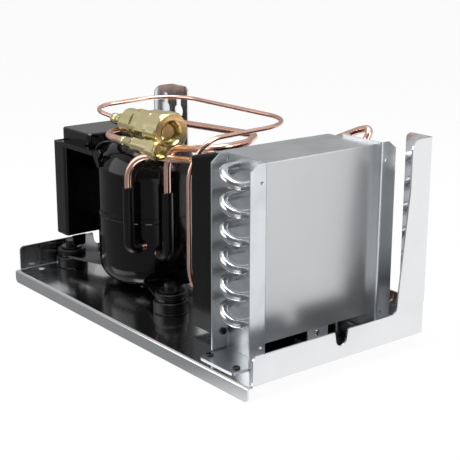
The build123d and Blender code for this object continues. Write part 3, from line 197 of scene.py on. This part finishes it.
MIDDLE = (0, 0, 0.08)
lamp("top light", (0.1, -0.2, 1.3), MIDDLE, 1.2, 0.8, 16.0)
lamp("right light", (1.4, 0.3, 0.6), MIDDLE, 0.7, 1.2, 12.0)
lamp("front light", (-0.6, -1.4, 0.6), MIDDLE, 1.6, 1.0, 9.0)

WHITE = (1, 1, 1, 1)
# a pale room: white to the eye, softer in reflections, with a dark flag over the near right corner
world = bpy.data.worlds.new("studio")
bpy.context.scene.world = world
world.use_nodes = True
tree = world.node_tree
tree.nodes.clear()
way = add(tree, "ShaderNodeTexCoord")
flag = add(tree, "ShaderNodeVectorMath", [(way.outputs["Generated"], 0)], operation="DOT_PRODUCT",
           in_1=(0.755, -0.596, 0.275))
shade = add(tree, "ShaderNodeMapRange", [(flag.outputs["Value"], "Value")],
            interpolation_type="SMOOTHSTEP", in_From_Min=0.1, in_From_Max=0.75, in_To_Min=1.0, in_To_Max=0.25)
axes = add(tree, "ShaderNodeSeparateXYZ", [(way.outputs["Generated"], "Vector")])
side = add(tree, "ShaderNodeMapRange", [(axes.outputs["X"], "Value")], interpolation_type="SMOOTHSTEP",
           in_From_Min=-0.2, in_From_Max=0.9, in_To_Min=0.42, in_To_Max=0.62)
above = add(tree, "ShaderNodeMapRange", [(axes.outputs["Z"], "Value")], interpolation_type="SMOOTHSTEP",
            in_From_Min=0.3, in_From_Max=0.9, in_To_Min=0.0, in_To_Max=0.35)
open_room = add(tree, "ShaderNodeMath", [(side.outputs["Result"], 0), (above.outputs["Result"], 1)],
                operation="ADD")
level = add(tree, "ShaderNodeMath", [(open_room.outputs[0], 0), (shade.outputs["Result"], 1)],
            operation="MULTIPLY")
rays = add(tree, "ShaderNodeLightPath")
room = add(tree, "ShaderNodeBackground", [(level.outputs[0], "Strength")], in_Color=WHITE)
fill = add(tree, "ShaderNodeBackground", in_Color=WHITE, in_Strength=0.5)
white = add(tree, "ShaderNodeBackground", in_Color=WHITE, in_Strength=1.0)
by_gloss = add(tree, "ShaderNodeMixShader",
               [(rays.outputs["Is Glossy Ray"], 0), (fill.outputs[0], 1), (room.outputs[0], 2)])
seen = add(tree, "ShaderNodeMath",
           [(rays.outputs["Is Camera Ray"], 0), (rays.outputs["Is Transmission Ray"], 1)],
           operation="MAXIMUM")
mix = add(tree, "ShaderNodeMixShader",
          [(seen.outputs[0], 0), (by_gloss.outputs[0], 1), (white.outputs[0], 2)])
add(tree, "ShaderNodeOutputWorld", [(mix.outputs[0], "Surface")])

# ---------------------------------------------------------------- floor
# pale paper sweep: white to the eye with a faint shadow, brighter on the right in reflections
paper = bpy.data.materials.new("pale paper")
paper.use_nodes = True
tree = paper.node_tree
tree.nodes.clear()
rays = add(tree, "ShaderNodeLightPath")
place = add(tree, "ShaderNodeTexCoord")
lean = add(tree, "ShaderNodeVectorMath", [(place.outputs["Object"], 0)], operation="DOT_PRODUCT",
           in_1=(1.0, 1.2, 0.0))
glow = add(tree, "ShaderNodeMapRange", [(lean.outputs["Value"], "Value")], interpolation_type="SMOOTHSTEP",
           in_From_Min=-0.05, in_From_Max=0.12, in_To_Min=0.28, in_To_Max=1.0)
matt = add(tree, "ShaderNodeBsdfDiffuse", in_Color=(0.8, 0.8, 0.8, 1))
bright = add(tree, "ShaderNodeEmission", in_Color=WHITE, in_Strength=1.0)
sheen = add(tree, "ShaderNodeEmission", [(glow.outputs["Result"], "Strength")], in_Color=WHITE)
seen = add(tree, "ShaderNodeMath", [(rays.outputs["Is Camera Ray"], 0)], operation="MULTIPLY", in_1=0.93)
to_eye = add(tree, "ShaderNodeMixShader",
             [(seen.outputs[0], 0), (matt.outputs[0], 1), (bright.outputs[0], 2)])
to_gloss = add(tree, "ShaderNodeMixShader",
               [(rays.outputs["Is Glossy Ray"], 0), (to_eye.outputs[0], 1), (sheen.outputs[0], 2)])
add(tree, "ShaderNodeOutputMaterial", [(to_gloss.outputs[0], "Surface")])

FLOOR_REACH, FLOOR_Z = 4.0, -0.0005  # metres: half its width, and half a millimetre under the unit
mesh = bpy.data.meshes.new("floor")
mesh.from_pydata([(x * FLOOR_REACH, y * FLOOR_REACH, FLOOR_Z)
                  for x, y in ((-1, -1), (1, -1), (1, 1), (-1, 1))], [], [(0, 1, 2, 3)])
floor = bpy.data.objects.new("floor", mesh)
bpy.context.collection.objects.link(floor)
floor.data.materials.append(paper)


# ---------------------------------------------------------------- small parts made here
# lengths are in millimetres here, and become metres where each mesh is made
RING_STEPS = 96
TURN = [2 * math.pi * k / RING_STEPS for k in range(RING_STEPS)]  # the angles of one turn
COIL_STEPS = 12  # points in each turn of a spring
PLATE_EDGE = 0.4  # width of a plate's rounded edges


def part(name, points, faces, slot, body="unit", smooth=False):
    """A mesh piece in metres that rides a body and wears a finish."""
    shape = bpy.data.meshes.new(name)
    shape.from_pydata(points, [], faces)
    shape.validate()
    obj = bpy.data.objects.new(name, shape)
    bpy.context.collection.objects.link(obj)
    obj.data.materials.append(LOOKS[slot])
    if smooth:
        for face in shape.polygons:
            face.use_smooth = True
    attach(obj, body)
    return obj


def hoop(name, sections, slot, body="unit", turned_over=False):
    """A closed band through equal sections, one for each angle of TURN. Its faces can be turned over."""
    n = len(sections[0])
    points = [(x / 1000, y / 1000, z / 1000) for section in sections for x, y, z in section]
    faces = []
    for k in range(RING_STEPS):
        here, there = k * n, (k + 1) % RING_STEPS * n
        for i in range(n):
            j = (i + 1) % n
            faces.append((here + i, there + i, there + j, here + j) if turned_over
                         else (here + i, here + j, there + j, there + i))
    part(name, points, faces, slot, body)


def spun(name, profile, centre, slot, body):
    """A closed profile of (x, radius), turned about a line along X."""
    hoop(name, [[(x, centre[0] + r * math.cos(a), centre[1] + r * math.sin(a)) for x, r in profile]
                for a in TURN], slot, body)


def wire(name, path, r, slot, steps=12, fine=8):
    """A round wire through the points of a path, eased between them in fine steps."""
    spots = [Vector(p) for p in path]
    spots = [2 * spots[0] - spots[1], *spots, 2 * spots[-1] - spots[-2]]
    line = []
    for a, b, c, d in zip(spots, spots[1:], spots[2:], spots[3:]):
        for k in range(fine):
            t = k / fine
            line.append(0.5 * (2 * b + (c - a) * t + (2 * a - 5 * b + 4 * c - d) * t * t
                               + (3 * b - 3 * c + d - a) * t ** 3))
    line.append(spots[-2])
    points, faces = [], []
    for k, spot in enumerate(line):
        ahead = (line[min(k + 1, len(line) - 1)] - line[max(k - 1, 0)]).normalized()
        u = ahead.cross(Vector((0, 1, 0))).normalized()
        v = ahead.cross(u)
        for i in range(steps):
            a = 2 * math.pi * i / steps
            points.append((spot + r * (u * math.cos(a) + v * math.sin(a))) / 1000)
    for k in range(len(line) - 1):
        faces += [(k * steps + i, k * steps + (i + 1) % steps, (k + 1) * steps + (i + 1) % steps,
                   (k + 1) * steps + i) for i in range(steps)]
    faces += [tuple(range(steps))[::-1], tuple(range(len(points) - steps, len(points)))]
    return part(name, points, faces, slot, smooth=True)


def plate(name, corners, thick, slot):
    """A plate from corners given in order, with a thickness vector and rounded edges."""
    n = len(corners)
    points = [tuple(c / 1000 for c in p) for p in corners]
    points += [tuple((c + t) / 1000 for c, t in zip(p, thick)) for p in corners]
    faces = [tuple(range(n)), tuple(range(2 * n - 1, n - 1, -1))]
    faces += [(i, n + i, n + (i + 1) % n, (i + 1) % n) for i in range(n)]
    obj = part(name, points, faces, slot)
    soft = obj.modifiers.new("soft edges", "BEVEL")
    soft.width = PLATE_EDGE / 1000
    soft.segments = 2


def spring(name, node, axis_at, x0, x1, r, gauge, turns):
    """A coil spring along X, fixed at x0 and reaching to x1."""
    path = []
    for k in range(turns * COIL_STEPS + 1):
        a = 2 * math.pi * k / COIL_STEPS
        x = x0 + gauge + (x1 - x0 - 2 * gauge) * k / (turns * COIL_STEPS)
        path.append((x, axis_at[0] + r * math.cos(a), axis_at[1] + r * math.sin(a)))
    obj = wire(name, path, gauge, "bolt_steel", steps=8, fine=2)
    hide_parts(node)
    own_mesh(obj)


# (y, z) of the two couplings' axes, which run along X
UPPER_AXIS = (-25.0, 166.5)
LOWER_AXIS = (-48.0, 156.0)
# bevelled land inside the mouth of the large nut
spun("upper_nut_land", [(-25.0, 13.6), (-25.0, 11.0), (-22.5, 9.9), (-14.0, 9.9), (-12.3, 11.2),
                        (-12.3, 13.6)], UPPER_AXIS, "brass", "upper_nut")
# nose of the large poppet, a shallow disc on a short neck
spun("upper_poppet_nose", [(-27.2, 0.01), (-27.2, 3.4), (-19.5, 3.4), (-19.0, 6.4), (-17.6, 6.4),
                           (-17.0, 5.8), (-17.0, 0.01)], UPPER_AXIS, "brass", "upper_poppet")

FLAT_HALF, CORNER_R, END_R, BORE_R = 17.0, 18.6, 18.0, 15.0  # half across the flats, and radii


def flats_section(a):
    """The large nut's hexagon cut at an angle, with turned-off corners."""
    side = FLAT_HALF / math.cos((a + math.pi / 6) % (math.pi / 3) - math.pi / 6)
    corner, end = min(side, CORNER_R), min(side, END_R)
    return [(x, UPPER_AXIS[0] + r * math.sin(a), UPPER_AXIS[1] + r * math.cos(a))
            for x, r in ((-27.0, BORE_R), (-27.0, end), (-26.4, corner), (-14.6, corner), (-14.0, end),
                         (-14.0, BORE_R))]


# spanner flats round the barrel of the large nut
hoop("upper_nut_flats", [flats_section(a) for a in TURN], "brass", "upper_nut")
# sprung clip that holds the end of the rail, and its wire
CLIP_Y, CLIP_WIDTH = -53.6, 4.0
plate("rail_clip", [(x, CLIP_Y, z) for x, z in (
    (-97.5, 139.5), (-87.5, 142.5), (-84.5, 140.0), (-90.5, 133.0), (-88.0, 127.0), (-91.5, 125.0),
    (-98.0, 134.5))], (0, CLIP_WIDTH, 0), "black_gloss")
wire("rail_clip_wire", [(-97.0, -51.6, 138.0), (-93.0, -51.0, 145.0), (-84.0, -50.0, 150.0),
                        (-72.0, -47.0, 152.0), (-60.0, -45.0, 150.5), (-55.0, -44.5, 146.5)],
     1.0, "black_gloss")
# springs behind the poppets
spring("upper_spring_coil", "upper_coupling_spring", UPPER_AXIS,
       x0=-58.0, x1=-32.0, r=5.5, gauge=0.8, turns=5)
spring("lower_spring_coil", "lower_coupling_spring", LOWER_AXIS,
       x0=-18.0, x1=-2.5, r=2.2, gauge=0.4, turns=6)
# rolled edge of the lid where it laps the bowl: (distance out from the shell, height)
SHELL_AT, SHELL_HALF = (-76.5, -8.0), (51.0, 45.0)
SEAM = ((-0.8, 79.4), (0.35, 79.6), (0.75, 80.4), (0.75, 83.0), (0.35, 83.8), (-0.8, 84.6))
hoop("shell_seam_edge", [[(SHELL_AT[0] + (SHELL_HALF[0] + out) * math.cos(a),
                           SHELL_AT[1] + (SHELL_HALF[1] + out) * math.sin(a), z) for out, z in SEAM]
                         for a in TURN], "black_paint", turned_over=True)
# strap that hangs the control unit from the near left bolt
plate("control_unit_strap", [(-152.0, -46.8, 36.0), (-152.0, -33.2, 36.0), (-152.0, -32.6, 45.2),
                             (-152.0, -47.6, 45.2)], (1.5, 0, 0), "black_gloss")
plate("control_unit_strap_foot", [(-155.6, -46.0, 34.6), (-150.5, -46.0, 34.6), (-150.5, -33.6, 34.6),
                                  (-155.6, -33.6, 34.6)], (0, 0, 1.6), "black_gloss")
